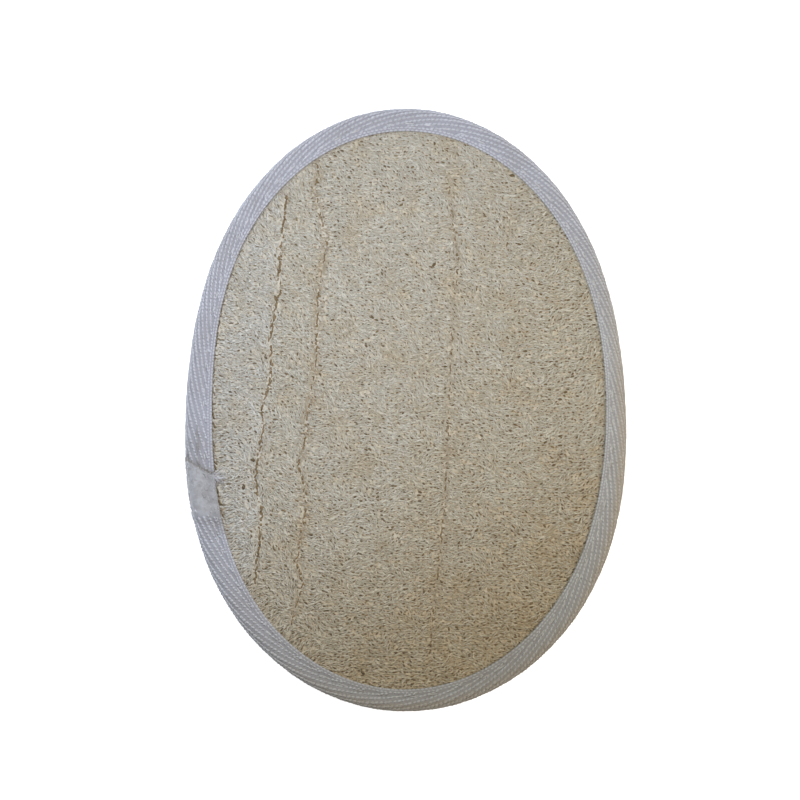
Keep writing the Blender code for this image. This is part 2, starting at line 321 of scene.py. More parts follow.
def felt_height(x, y, side):
    """Top of the felted fibres on the face (side 1) or their lowest points on the back (-1)."""
    angle = np.arctan2(y, x)
    distance = np.hypot(x, y)
    edge = reach(angle, tape_width(angle))
    face = reach(angle, tape_width(angle) + FACE_SETBACK)
    share = np.minimum(1, distance / face)
    rim = rim_height(angle)
    middle = RIM_MIDDLE + (rim - RIM_MIDDLE) * share ** 2
    crown = 1 - share ** CROWN_POWER
    if side > 0:
        height = middle + FACE_EDGE_HALF
        height = height + (THICKNESS - RIM_MIDDLE - FACE_EDGE_HALF) * crown
        height = height - FACE_DROP + FACE_SWELL * wander(SWELL, x, y)
        for _, strength, gap in crease_gaps(x, y):
            dip = bell(gap, CREASE_HALF_WIDTH) + CREASE_SLOPE * bell(gap, CREASE_SLOPE_WIDTH)
            height = height - CREASE_DEPTH * strength * dip
    else:
        height = middle - FACE_EDGE_HALF - (RIM_MIDDLE - FACE_EDGE_HALF - BACK_LEVEL) * crown
    return height + (rim + side * SLOT_HALF - height) * ease(distance, face, edge)


def comb_share(x, y):
    """How far the fibres stand straight in from the tape, as they do at the left edge."""
    return ease(-x, 12 * MM, 30 * MM) * ease(inside_edge(x, y), 6 * MM, 2 * MM)


def fibre_angle(x, y):
    """Which way the fibres run: mostly across and down to the right, in swirls that are
    calmer at the upper left."""
    above = np.interp(x / MM, LEAN_ACROSS, LEAN_ABOVE)
    below = np.interp(x / MM, LEAN_ACROSS, LEAN_BELOW)
    tilt = below + (above - below) * ease(y, -45 * MM, 15 * MM)
    calm = ease(x, 8 * MM, -12 * MM) * ease(y, 5 * MM, 30 * MM)
    tilt = tilt + (0.5 - 0.2 * calm) * wander(DRIFT, x, y)
    return tilt + 0.85 * comb_share(x, y) * (np.arctan2(-y, -x) - tilt)


# Shader maths and finishes


class Signal:
    """A shader socket that can stand in arithmetic."""

    def __init__(self, finish, socket):
        self.finish = finish
        self.socket = socket

    def math(self, operation, first, second):
        values = {0: first, 1: second}
        return self.finish.node("ShaderNodeMath", {"operation": operation}, values)

    def __add__(self, other):
        return self.math("ADD", self, other)

    __radd__ = __add__

    def __sub__(self, other):
        return self.math("SUBTRACT", self, other)

    def __rsub__(self, other):
        return self.math("SUBTRACT", other, self)

    def __mul__(self, other):
        return self.math("MULTIPLY", self, other)

    __rmul__ = __mul__


class Finish:
    """A material and the one way in which its nodes are added."""

    def __init__(self, name):
        self.material = bpy.data.materials.new(name)
        self.material.use_nodes = True
        self.tree = self.material.node_tree
        self.tree.nodes.clear()

    def node(self, kind, settings=None, sockets=None, output=0):
        made = self.tree.nodes.new(kind)
        for setting, value in (settings or {}).items():
            setattr(made, setting, value)
        for place, value in (sockets or {}).items():
            self.fill(self.find(made.inputs, place), value)
        if len(made.outputs) > 0:
            return Signal(self, self.find(made.outputs, output))

    def find(self, sockets, place):
        if isinstance(place, int):
            return sockets[place]
        for socket in sockets:
            if socket.identifier == place:
                return socket
        return sockets[place]

    def fill(self, socket, value):
        if isinstance(value, Signal):
            self.tree.links.new(value.socket, socket)
        elif isinstance(value, tuple) and socket.type == "RGBA":
            socket.default_value = (*value, 1)
        else:
            socket.default_value = value

    def place(self):
        return self.node("ShaderNodeTexCoord", output="Object")

    def attribute(self, name):
        return self.node("ShaderNodeAttribute", {"attribute_name": name}, output="Fac")

    def axis(self, vector, name):
        return self.node("ShaderNodeSeparateXYZ", sockets={"Vector": vector}, output=name)

    def noise(self, vector, scale, detail=2.0, roughness=0.5):
        sockets = {"Vector": vector, "Scale": scale, "Detail": detail, "Roughness": roughness}
        return self.node("ShaderNodeTexNoise", sockets=sockets)

    def ramp(self, value, low, high, start=0.0, end=1.0):
        """Value eased from start at low to end at high."""
        sockets = {"Value": value, 1: low, 2: high, 3: start, 4: end}
        return self.node("ShaderNodeMapRange", {"interpolation_type": "SMOOTHSTEP"}, sockets)

    def mix(self, factor, first, second, blend="MIX"):
        settings = {"data_type": "RGBA", "blend_type": blend}
        sockets = {"Factor_Float": factor, "A_Color": first, "B_Color": second}
        return self.node("ShaderNodeMix", settings, sockets, "Result_Color")

    def bump(self, height, strength, distance):
        sockets = {"Height": height, "Strength": strength, "Distance": distance}
        return self.node("ShaderNodeBump", sockets=sockets)

    def surface(self, colour, roughness, normal=None, **uniform):
        sockets = {"Base Color": colour, "Roughness": roughness}
        if normal is not None:
            sockets["Normal"] = normal
        for name, value in uniform.items():
            sockets[name.replace("_", " ").title()] = value
        shader = self.node("ShaderNodeBsdfPrincipled", sockets=sockets)
        self.node("ShaderNodeOutputMaterial", sockets={"Surface": shader})
        return self.material


def loofah_tones(made, place):
    """Pale, straw and brown tones: greyer left of the first crease, yellower to the right,
    partly by painted warm light, and darker and browner towards the wide end by painted shade."""
    across = made.axis(place, "X")
    up = made.axis(place, "Y")
    step = made.ramp(across - up * 0.083, -36.5 * MM, -31.5 * MM, 0.0, 0.4)
    # Yellower to the right: fibre colour and painted warm light
    warm = step + made.ramp(across - up * 0.6, -55 * MM, 60 * MM, 0.0, 0.6)
    # Painted shade: darker and browner towards the low wide end
    low = made.ramp(up - across * 0.45, -80 * MM, -10 * MM, 1.0, 0.0) * 0.75
    tanned = made.ramp(made.noise(place, 130.0, 4.0, 0.6), 0.45, 0.72, 0.0, 0.65)
    tint = made.mix(tanned, WHITE, TAN)
    tones = {"brown": made.mix(warm, *BROWNS)}
    for tone, (at_left, at_right, at_low_end) in TONES.items():
        plain = made.mix(low, made.mix(warm, at_left, at_right), at_low_end)
        tones[tone] = made.mix(1.0, plain, tint, "MULTIPLY")
    return tones


def fibre_finish():
    """Dry loofah fibre, browner deep down and beside the tape by painted shade, and beside the
    creases by painted shade and stain.
    """
    made = Finish("loofah_fibre")
    place = made.place()
    tones = loofah_tones(made, place)
    patches = made.noise(place, 120.0, 3.0)
    streaks = made.noise(place, 900.0, 2.0)
    shade = made.ramp(made.attribute("shade") + (patches - 0.5) * 1.2, 0.05, 0.9)
    colour = made.mix(shade, tones["pale"], tones["straw"])
    # Painted shade, with stain at the creases, browns deep fibres and those beside the creases
    # and the tape
    shade_and_stain = made.ramp(made.attribute("depth"), 0.2, 1.2, 0.0, 0.8)
    colour = made.mix(shade_and_stain, colour, SHADE_AND_STAIN)
    roughness = made.ramp(streaks, 0.3, 0.7, 0.62, 0.82)
    return made.surface(colour, roughness, made.bump(streaks, 0.35, 0.06 * MM))


def ground_finish():
    """The felt under the loose fibres, with finer fibres and specks in it."""
    made = Finish("loofah_ground")
    place = made.place()
    tones = loofah_tones(made, place)
    cells = made.node(
        "ShaderNodeTexVoronoi",
        {"feature": "DISTANCE_TO_EDGE"},
        {"Vector": place, "Scale": 1100.0},
        "Distance",
    )
    strands = made.noise(place, 1500.0, 3.0, 0.65)
    rim = made.ramp(cells, 0.05, 0.35)
    colour = made.mix(made.ramp(strands, 0.35, 0.7), tones["straw"], tones["pale"])
    colour = made.mix(rim * 0.3 + 0.22, colour, tones["brown"])
    normal = made.bump(strands * 0.5 - rim * 0.5, 0.6, 0.2 * MM)
    return made.surface(colour, 0.85, normal)


def pore_finish():
    """Painted shade inside a pore over brown fibre, rusty along the creases."""
    made = Finish("loofah_pore")
    place = made.place()
    tones = loofah_tones(made, place)
    strands = made.noise(place, 1800.0, 2.0, 0.6)
    # Painted shade deep in the pore, warmer to the right
    warm = made.ramp(made.axis(place, "X"), -45 * MM, 30 * MM)
    deep = made.mix(strands, made.mix(warm, *PORE_DEPTHS), PORE_STRANDS)
    dark = made.attribute("dark")
    colour = made.mix(made.ramp(dark, 0.1, 0.5), tones["straw"], tones["brown"])
    colour = made.mix(made.ramp(dark, 0.35, 0.95), colour, deep)
    colour = made.mix(made.attribute("rust"), colour, made.mix(strands, *RUSTS))
    return made.surface(colour, 0.95, made.bump(strands, 0.6, 0.1 * MM))


def cotton_finish(name, tones):
    """Soft bleached cotton, cool at the upper left and warmer at the lower right by painted warm
    light, with painted shade along the outer edge there and towards the low end, grime, a felted
    patch on the lap and a fine fuzz."""
    pale, dull = (np.array(tone) for tone in tones)
    made = Finish(name)
    place = made.place()
    patches = made.noise(place, 90.0, 3.0, 0.6)
    fuzz = made.noise(place, 4200.0, 3.0, 0.7)
    across = made.axis(place, "X")
    up = made.axis(place, "Y")
    aslant = across - up * 0.8
    # Painted warm light towards the lower right
    warm = made.ramp(aslant, -50 * MM, 90 * MM)
    clean = made.mix(warm, tuple(pale), tuple(pale * CLEAN_WARM_LIGHT))
    worn = made.mix(warm, tuple(dull), tuple(dull * WORN_WARM_LIGHT))
    grime = made.ramp(patches + made.attribute("shade") * 0.25, 0.42, 0.95, 0.0, 0.8)
    colour = made.mix(grime, clean, worn)
    mottled = made.ramp(made.noise(place, 600.0, 3.0, 0.6), 0.35, 0.65)
    colour = made.mix(made.attribute("patch"), colour, made.mix(mottled, *FELTED_TONES))
    colour = made.mix(made.ramp(fuzz, 0.35, 0.7, 0.0, 0.14), colour, FUZZ)
    # Painted shade along the outer edge at the lower right, where the fold turns away
    edge = made.attribute("edge") * made.ramp(aslant, 0.0, 75 * MM)
    colour = made.mix(edge * 0.55, colour, EDGE_SHADE)
    # Painted shade at the lap's slit and fold, and dirt on the lap
    colour = made.mix(made.attribute("shade_and_dirt"), colour, SHADE_AND_DIRT)
    high = made.ramp(up - across * 0.35, -85 * MM, -20 * MM, 0.62, 1.0)
    colour = made.mix(1 - high, colour, LOW_SHADE)
    normal = made.bump(fuzz, 0.5, 0.08 * MM)
    return made.surface(colour, 0.88, normal, sheen_weight=0.25, sheen_roughness=0.6)


def floor_finish():
    made = Finish("pale_floor")
    colour = made.mix(made.noise(made.place(), 30.0, 4.0, 0.6), *FLOOR_TONES)
    return made.surface(colour, 0.9, emission_color=WHITE, emission_strength=FLOOR_GLOW)


# Meshes and strands


def add_piece(name, mesh, finish, slot):
    """Put a mesh in the scene, shaded smooth, and attach it to the root body when a slot is
    given.
    """
    mesh.name = name
    mesh.materials.append(finish)
    mesh.shade_smooth()
    piece = bpy.data.objects.new(name, mesh)
    bpy.context.scene.collection.objects.link(piece)
    if slot:
        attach(piece, "root")
    return piece


def bm_to_mesh(bm):
    mesh = bpy.data.meshes.new("shape")
    bm.to_mesh(mesh)
    bm.free()
    return mesh


def positions(points):
    return np.array([point.co for point in points])


def move_to(bm, places):
    for vertex, place in zip(bm.verts, places):
        vertex.co = place


def along_and_round(face):
    """A number that orders a tube's faces along it and round it, because the order in which
    extruding leaves them changes from run to run."""
    middle = face.calc_center_median()
    return 2 * math.tau * middle.z + math.atan2(middle.y, middle.x)


def tube(rings, sides):
    """One closed straight tube round +Z, its rings one apart, to be bent by add_strands."""
    bm = bmesh.new()
    bmesh.ops.create_circle(bm, cap_ends=True, segments=sides, radius=1)
    bm.faces.ensure_lookup_table()
    end = bm.faces[0]
    for ring in range(rings - 1):
        made = bmesh.ops.extrude_face_region(bm, geom=[end])["geom"]
        if ring > 0:
            bmesh.ops.delete(bm, geom=[end], context="FACES_ONLY")
        end = next(part for part in made if isinstance(part, bmesh.types.BMFace))
        bmesh.ops.translate(bm, verts=end.verts, vec=(0, 0, 1))
    bmesh.ops.recalc_face_normals(bm, faces=bm.faces)
    bm.faces.sort(key=along_and_round)
    return bm_to_mesh(bm)


def copies(template, count):
    """A mesh of many copies of a template, one after another in the vertex order."""
    holder = bpy.data.objects.new("holder", template)
    bpy.context.scene.collection.objects.link(holder)
    array = holder.modifiers.new("copies", "ARRAY")
    array.count = count
    array.use_relative_offset = False
    settled = holder.evaluated_get(bpy.context.evaluated_depsgraph_get())
    mesh = bpy.data.meshes.new_from_object(settled)
    bpy.data.objects.remove(holder)
    return mesh


def unit(vectors):
    return vectors / np.maximum(np.linalg.norm(vectors, axis=-1, keepdims=True), 1e-12)


def lay_out(mesh, count, along, around):
    """Give each copy its own small patch of the texture, with a margin round it. Faces that
    wrap round the copy run on past its end instead of back over it."""
    margin = 0.08
    corners = np.zeros(len(mesh.loops), int)
    mesh.loops.foreach_get("vertex_index", corners)
    totals = np.zeros(len(mesh.polygons), int)
    mesh.polygons.foreach_get("loop_total", totals)
    face = np.repeat(np.arange(len(totals)), totals)
    copy, within = np.divmod(corners, len(along))
    lowest = np.full(len(totals), 1.0)
    highest = np.zeros(len(totals))
    np.minimum.at(lowest, face, around[within])
    np.maximum.at(highest, face, around[within])
    wraps = (highest[face] - lowest[face] > 0.6) & (around[within] < 0.5)
    per_row = math.ceil(math.sqrt(count))
    row, column = np.divmod(copy, per_row)
    u = (column + margin + (1 - 2 * margin) * along[within]) / per_row
    v = (row + margin + (1 - 2 * margin) * (around[within] + wraps)) / per_row
    layer = mesh.uv_layers.new(name="OFBake")
    layer.data.foreach_set("uv", np.column_stack((u, v)).ravel())


def add_values(mesh, values, repeats):
    """Numbers for the material, the same over each copy."""
    for label, numbers in values.items():
        layer = mesh.attributes.new(label, "FLOAT", "POINT")
        layer.data.foreach_set("value", np.repeat(numbers, repeats).astype(np.float32))


def add_strands(name, paths, ups, widths, section, finish, slot, values):
    """One piece of many thin strands along paths, an array of strands by rings by 3, each
    with its section's upper side turned to its up direction."""
    count, rings = paths.shape[:2]
    template = tube(rings, len(section))
    corner = positions(template.vertices)
    ring = np.round(corner[:, 2]).astype(int)
    side = np.round(np.arctan2(corner[:, 1], corner[:, 0]) / math.tau * len(section)).astype(int)
    side = side % len(section)
    over_x, over_y = np.array(section)[side].T[:, None, :, None]
    along = unit(np.gradient(paths, axis=1))
    aside = unit(np.cross(ups, along))
    over = np.cross(along, aside)
    place = over_x * aside[:, ring] + over_y * over[:, ring]
    place = paths[:, ring] + widths[:, ring, None] * place
    mesh = copies(template, count)
    mesh.vertices.foreach_set("co", place.ravel())
    mesh.update()
    lay_out(mesh, count, ring / (rings - 1), side / len(section))
    add_values(mesh, values, len(ring))
    return add_piece(name, mesh, finish, slot)


def swell(count, rings, ends):
    """Widths that are full in the middle of a strand and thin towards its ends."""
    profile = ends + (1 - ends) * np.sin(np.linspace(0, math.pi, rings)) ** 0.5
    return np.tile(profile, (count, 1))


# Loofah: its solid, its pores and its loose fibres


def place_on_oval(u, v, tuck):
    """Where a point of the square grid, from -1 to 1 each way, lies on the oval."""
    across = u * np.sqrt(1 - v * v / 2)
    along = v * np.sqrt(1 - u * u / 2)
    angle = np.arctan2(HALF_LENGTH * along, HALF_WIDTH * across)
    distance = np.hypot(across, along) * reach(angle, tape_width(angle) - tuck)
    return distance * np.cos(angle), distance * np.sin(angle)


def loofah_ground(finish):
    """The solid of the felt, a little below its loose fibres, from face to back."""
    bm = bmesh.new()
    bmesh.ops.create_grid(bm, x_segments=72, y_segments=100, size=1)
    face_points = len(bm.verts)
    bmesh.ops.duplicate(bm, geom=[*bm.verts, *bm.edges, *bm.faces])
    lower = np.arange(len(bm.verts)) >= face_points
    grid = positions(bm.verts)
    x, y = place_on_oval(grid[:, 0], grid[:, 1], GROUND_TUCK)
    over = felt_height(x, y, 1) - FELT_DEPTH
    under = felt_height(x, y, -1) + FELT_DEPTH
    move_to(bm, np.column_stack((x, y, np.where(lower, under, over))))
    rims = [edge for edge in bm.edges if edge.is_boundary]
    bmesh.ops.bridge_loops(bm, edges=rims)
    bmesh.ops.recalc_face_normals(bm, faces=bm.faces)
    return add_piece("loofah_ground", bm_to_mesh(bm), finish, "loofah_fibre")


def scattered_pores(pitch):
    """Pores over a loose grid: place, direction, half sizes and darkness of their painted shade.
    They are a little denser and bigger towards the edge, and paler at the left and at the top."""
    field_width, field_length = PORE_FIELD
    column, row = np.meshgrid(*(np.arange(int(size / pitch)) for size in PORE_FIELD))
    x = (column.ravel() + rng.uniform(0.15, 0.85, column.size)) * pitch - field_width / 2
    y = (row.ravel() + rng.uniform(0.15, 0.85, row.size)) * pitch - field_length / 2
    edge = ease(np.hypot(x / HALF_WIDTH, y / HALF_LENGTH), 0.5, 0.9)
    low = ease(y, 10 * MM, -40 * MM)
    left = ease(x, -10 * MM, -35 * MM)
    dense = 0.82 + 0.06 * edge + 0.04 * left + 0.06 * wander(SWELL, x, y)
    kept = (inside_edge(x, y, PORE_TUCK) > 0) & (rng.uniform(0, 1, len(x)) < dense)
    x, y, edge, low, left = x[kept], y[kept], edge[kept], low[kept], left[kept]
    long = 0.53 + 0.04 * edge + 0.05 * np.maximum(low, left)
    long = long * rng.lognormal(0, 0.28, len(x))
    half = np.minimum(long, 1.15) * 0.5 * MM
    comb = comb_share(x, y)
    turn = fibre_angle(x, y) + rng.normal(0, 0.4, len(x)) * (1 - 0.6 * comb)
    slim = rng.uniform(0.38, 0.56, len(x)) * (1 - 0.2 * comb)
    top = ease(y, 15 * MM, 55 * MM)
    dark = rng.uniform(0.15, 1.05, len(x)) * (1.3 - 0.45 * left * (1 + 0.4 * low) - 0.35 * top)
    dark = np.clip(dark, 0, 1)
    return np.stack((x, y, turn, half * (1 + 0.35 * comb), half * slim, dark), axis=1)


def big_pores():
    x, y = np.array(BIG_PORES).T * MM
    turn = rng.uniform(-1.6, 1.6, len(x))
    return np.stack(np.broadcast_arrays(x, y, turn, *BIG_PORE_HALVES, 1.0), axis=1)


def crease_pores():
    """Chains of dark slots of painted shade along the creases, broken where a crease is weak."""
    slots = []
    look_ahead = 0.5 * MM
    for strength, points in CREASES:
        across, up = crease_line(points)
        y = up[-1] - 2 * MM
        while y > up[0] + 1 * MM:
            centre, next_centre = np.interp((y, y - look_ahead), up, across)
            turn = math.atan2(look_ahead, centre - next_centre) + rng.normal(0, 0.22)
            half = rng.uniform(0.35, 1.0) * MM * (0.6 + 0.4 * strength)
            if rng.uniform() < 0.15 + 0.8 * strength:
                x = centre + rng.normal(0, 0.13) * MM
                half_short = rng.uniform(0.19, 0.36) * MM * (0.6 + 0.5 * strength)
                dark = rng.uniform(0.5, 1.0) * strength ** 0.35
                slots.append((x, y, turn, half, half_short, dark))
            y -= 2 * half * rng.uniform(0.45, 0.85)
    return np.array(slots)


def edge_pores():
    """The broken gap between the loofah and the tape down the left side, wider below, as dark
    slots of painted shadow.
    """
    slots = []
    angle = GAP_START
    while angle < GAP_END:
        deep = ease(angle, GAP_START, GAP_START + 0.6) * ease(angle, GAP_END, GAP_END - 0.2)
        wide = ease(angle, 3.05, 3.15)
        distance = reach(angle, tape_width(angle) + rng.uniform(0.1, 0.5 + 0.2 * wide) * MM)
        half = rng.uniform(0.35, 1.0) * MM
        place = (distance * math.cos(angle), distance * math.sin(angle))
        turn = angle + math.pi / 2 + rng.normal(0, 0.25)
        if rng.uniform() < 0.25 + 0.75 * deep:
            half_short = rng.uniform(0.15, 0.27 + 0.1 * wide) * MM
            dark = rng.uniform(0.35, 0.8) * (0.4 + 0.6 * deep)
            slots.append((*place, turn, half, half_short, dark))
        angle += 2 * half / distance * rng.uniform(0.6, 1.0)
    return np.array(slots)


def cell_of(x, y):
    """The column and row of the coarse grid's cell, with a free cell all round the pad."""
    column = np.clip(x / CELL + CELL_COLUMNS / 2, 1, CELL_COLUMNS - 2).astype(int)
    row = np.clip(y / CELL + CELL_ROWS / 2, 1, CELL_ROWS - 2).astype(int)
    return column, row


def pore_table(pores):
    """Which pores lie in each cell of the coarse grid, a few to a cell, and -1 for none."""
    table = np.full((CELL_COLUMNS, CELL_ROWS, CELL_ROOM), -1)
    used = np.zeros((CELL_COLUMNS, CELL_ROWS), int)
    cells = cell_of(pores[:, 0], pores[:, 1])
    for index, (column, row) in enumerate(zip(*cells)):
        if used[column, row] < CELL_ROOM:
            table[column, row, used[column, row]] = index
            used[column, row] += 1
    return table


def near_pores(places, pores, table):
    """For each neighbouring pore in turn: whether it is there and open, its direction and
    half sizes, and the place along and aside of it."""
    column, row = cell_of(places[..., 0], places[..., 1])
    for shift in range(9 * CELL_ROOM):
        step, slot = divmod(shift, CELL_ROOM)
        chosen = table[column + step // 3 - 1, row + step % 3 - 1, slot]
        x, y, turn, half_long, half_short, dark = np.moveaxis(pores[chosen], -1, 0)
        dx = places[..., 0] - x
        dy = places[..., 1] - y
        along = dx * np.cos(turn) + dy * np.sin(turn)
        aside = dy * np.cos(turn) - dx * np.sin(turn)
        there = (chosen >= 0) & (dark > OPEN_DARKNESS)
        yield there, turn, half_long, half_short, along, aside


def part_at_pores(paths, pores, table):
    """Bend the strands round the pores, and say which then leave the pores open."""
    moved = np.zeros((*paths.shape[:2], 2))
    for there, turn, half_long, half_short, along, aside in near_pores(paths, pores, table):
        room = (1 - (along / (half_long * 1.2)) ** 2) * there
        clear = (half_short + PORE_LIP) * np.sqrt(np.clip(room, 0, 1))
        lean = np.sign(np.sum(aside * (room > 0), axis=1, keepdims=True) + 1e-12)
        push = np.clip(clear - lean * aside, 0, None) * lean * (room > 0)
        moved[..., 0] -= push * np.sin(turn)
        moved[..., 1] += push * np.cos(turn)
    paths[..., :2] += moved
    whole = np.hypot(moved[..., 0], moved[..., 1]).max(axis=1) < FARTHEST_PUSH
    third = (paths[:, 1:] - paths[:, :-1]) / 3
    between = np.concatenate((paths[:, :-1] + third, paths[:, 1:] - third), axis=1)
    for there, turn, half_long, half_short, along, aside in near_pores(between, pores, table):
        inside = (along / half_long) ** 2 + (aside / (half_short + PORE_CLEAR)) ** 2 < 1
        whole &= ~(inside & there).any(axis=1)
    return whole


def clear_creases(paths):
    """Slide the strands that lie across a crease to one side of it."""
    for full, strength, gap in crease_gaps(paths[..., 0], paths[..., 1]):
        over = (gap.min(axis=1) < 0) & (gap.max(axis=1) > 0) & (strength.max(axis=1) > 0.05)
        over &= rng.uniform(0, 1, len(paths)) < full + 0.25
        bare = rng.uniform(-0.03, 0.24, len(paths)) * MM * full
        slide = np.where(gap.mean(axis=1) > 0, bare - gap.min(axis=1), -bare - gap.max(axis=1))
        paths[..., 0] += (slide * over)[:, None]


def fibre_starts(count):
    """Starts of the fibres in a random order, more than the count, as many would cover a
    pore."""
    pitch = math.sqrt(4 * HALF_WIDTH * HALF_LENGTH / (3.1 * count))
    columns = int(2 * HALF_WIDTH / pitch)
    rows = int(2 * HALF_LENGTH / pitch)
    order = rng.permutation(columns * rows)
    x = (order % columns + rng.uniform(0, 1, len(order))) * pitch - HALF_WIDTH
    y = (order // columns + rng.uniform(0, 1, len(order))) * pitch - HALF_LENGTH
    inside = np.hypot(x / HALF_WIDTH, y / HALF_LENGTH) < 0.97
    return x[inside], y[inside]


def trail(x, y, length, astray):
    """Paths that follow the fibres' direction from each start, a little astray and curling."""
    scatter = rng.normal(0, astray, len(x))
    curl = rng.normal(0, FIBRE_CURL, len(x))
    step = length / (FIBRE_RINGS - 1)
    paths = np.zeros((len(x), FIBRE_RINGS, 3))
    paths[:, 0, :2] = np.column_stack((x, y))
    for ring in range(1, FIBRE_RINGS):
        turn = fibre_angle(x, y) + scatter + curl * step * (ring - FIBRE_RINGS / 2)
        x = x + step * np.cos(turn)
        y = y + step * np.sin(turn)
        paths[:, ring, :2] = np.column_stack((x, y))
    return paths


def face_shade_and_stain(x, y):
    """How far the fibres are browned: by painted shade and stain beside the creases, and by
    painted shadow of the tape beside it, most at the left.
    """
    shade_and_stain = 0
    # Painted shade and stain beside the creases
    for _, strength, gap in crease_gaps(x, y):
        strength = strength.max(axis=1)
        close = bell(np.abs(gap).min(axis=1), (1.1 - 0.75 * strength) * MM)
        shade_and_stain = shade_and_stain + close * strength ** 0.5
    # Painted shadow of the tape's edge on the fibres beside it, most at the left
    turn = np.arctan2(y[:, 0], x[:, 0]) % math.tau
    at_left = 0.4 + 0.5 * ease(turn, 2.4, 2.9) * ease(turn, 3.8, 3.65)
    return shade_and_stain + at_left * ease(inside_edge(x, y).min(axis=1), 0.9 * MM, 0.2 * MM)


def felt_layer(name, count, side, pores, finish, fibres):
    """One layer of loose fibres on the face (side 1) or the back (-1)."""
    x, y = fibre_starts(count)
    paths = trail(x, y, rng.uniform(*fibres["length"], len(x)), fibres["astray"])
    if side > 0:
        clear_creases(paths)
    kept = part_at_pores(paths, pores, pore_table(pores))
    kept &= (inside_edge(paths[..., 0], paths[..., 1], FIBRE_TUCK) > 0).all(axis=1)
    paths = paths[kept][:count]
    x, y = paths[..., 0], paths[..., 1]
    count = len(paths)
    sunk = rng.uniform(*fibres["sunk"], count)
    weave = rng.uniform(0, math.tau, count)[:, None] + np.arange(FIBRE_RINGS) * 1.9
    ends = np.linspace(-1, 1, FIBRE_RINGS) ** 4
    drop = sunk[:, None] + 0.05 * MM * np.sin(weave) + 0.12 * MM * ends
    height = felt_height(x, y, side) - side * drop
    widths = swell(count, FIBRE_RINGS, 0.45) * rng.uniform(*fibres["half_width"], (count, 1))
    shades = rng.uniform(0, 1, count) ** 1.5
    # Painted shade browns the deeper fibres, and more beside the creases and the tape
    depths = 0.6 * sunk / FELT_DEPTH
    if side > 0:
        depths = depths + face_shade_and_stain(x, y)
    paths[..., 2] = np.maximum(height, LOWEST_FIBRE)
    ups = np.broadcast_to((0.0, 0.0, float(side)), paths.shape)
    values = {"shade": shades, "depth": depths}
    add_strands(name, paths, ups, widths, TRIANGLE, finish, "loofah_fibre", values)


def pore_plugs(name, pores, rust, side, finish):
    """The mouths of the pores, dark with painted shade, each a flat ragged oval with a point
    below it.
    """
    plug_depth = 0.5 * MM
    bm = bmesh.new()
    bmesh.ops.create_cone(bm, cap_ends=True, segments=5, radius1=0, radius2=1, depth=1)
    bmesh.ops.translate(bm, verts=bm.verts, vec=(0, 0, -0.5))
    template = bm_to_mesh(bm)
    corner = positions(template.vertices)
    x, y, turn, half_long, half_short, dark = pores.T[:, :, None]
    ragged = rng.uniform(0.75, 1.2, (len(pores), len(corner)))
    along = corner[:, 0] * half_long * ragged
    aside = corner[:, 1] * half_short * ragged
    place_x = x + along * np.cos(turn) - aside * np.sin(turn)
    place_y = y + along * np.sin(turn) + aside * np.cos(turn)
    sunk = (0.26 - 0.08 * dark) * MM - corner[:, 2] * plug_depth
    place_z = np.maximum(felt_height(place_x, place_y, side) - side * sunk, LOWEST_PORE)
    mesh = copies(template, len(pores))
    mesh.vertices.foreach_set("co", np.stack((place_x, place_y, place_z), axis=-1).ravel())
    mesh.update()
    if side < 0:
        mesh.flip_normals()
    lay_out(mesh, len(pores), (corner[:, 0] + 1) / 2, (corner[:, 1] + 1) / 2.2)
    add_values(mesh, {"dark": pores[:, 5], "rust": rust}, len(corner))
    add_piece(name, mesh, finish, "loofah_fibre")


# Tape: its sheet, its weave, its lap and its seam


def fold_table():
    """Length along the half ellipse of the fold, from its top, and the angle there."""
    angle = np.linspace(math.pi / 2, -math.pi / 2, 200)
    inset = -FOLD_DEPTH * np.cos(angle)
    height = BOUND_HALF * np.sin(angle)
    steps = np.hypot(np.diff(inset), np.diff(height))
    return np.concatenate(([0], np.cumsum(steps))), angle


FOLD_LENGTHS, FOLD_ANGLES = fold_table()
FOLD_LENGTH = FOLD_LENGTHS[-1]
TAPE_FLAT_WIDTH = 2 * (TAPE_WIDTH - FOLD_DEPTH) + FOLD_LENGTH
STRIP_SWEEP = math.tau + LAP_END - LAP_START
TAPE_FLAT_LENGTH = TAPE_GIRTH * STRIP_SWEEP / math.tau


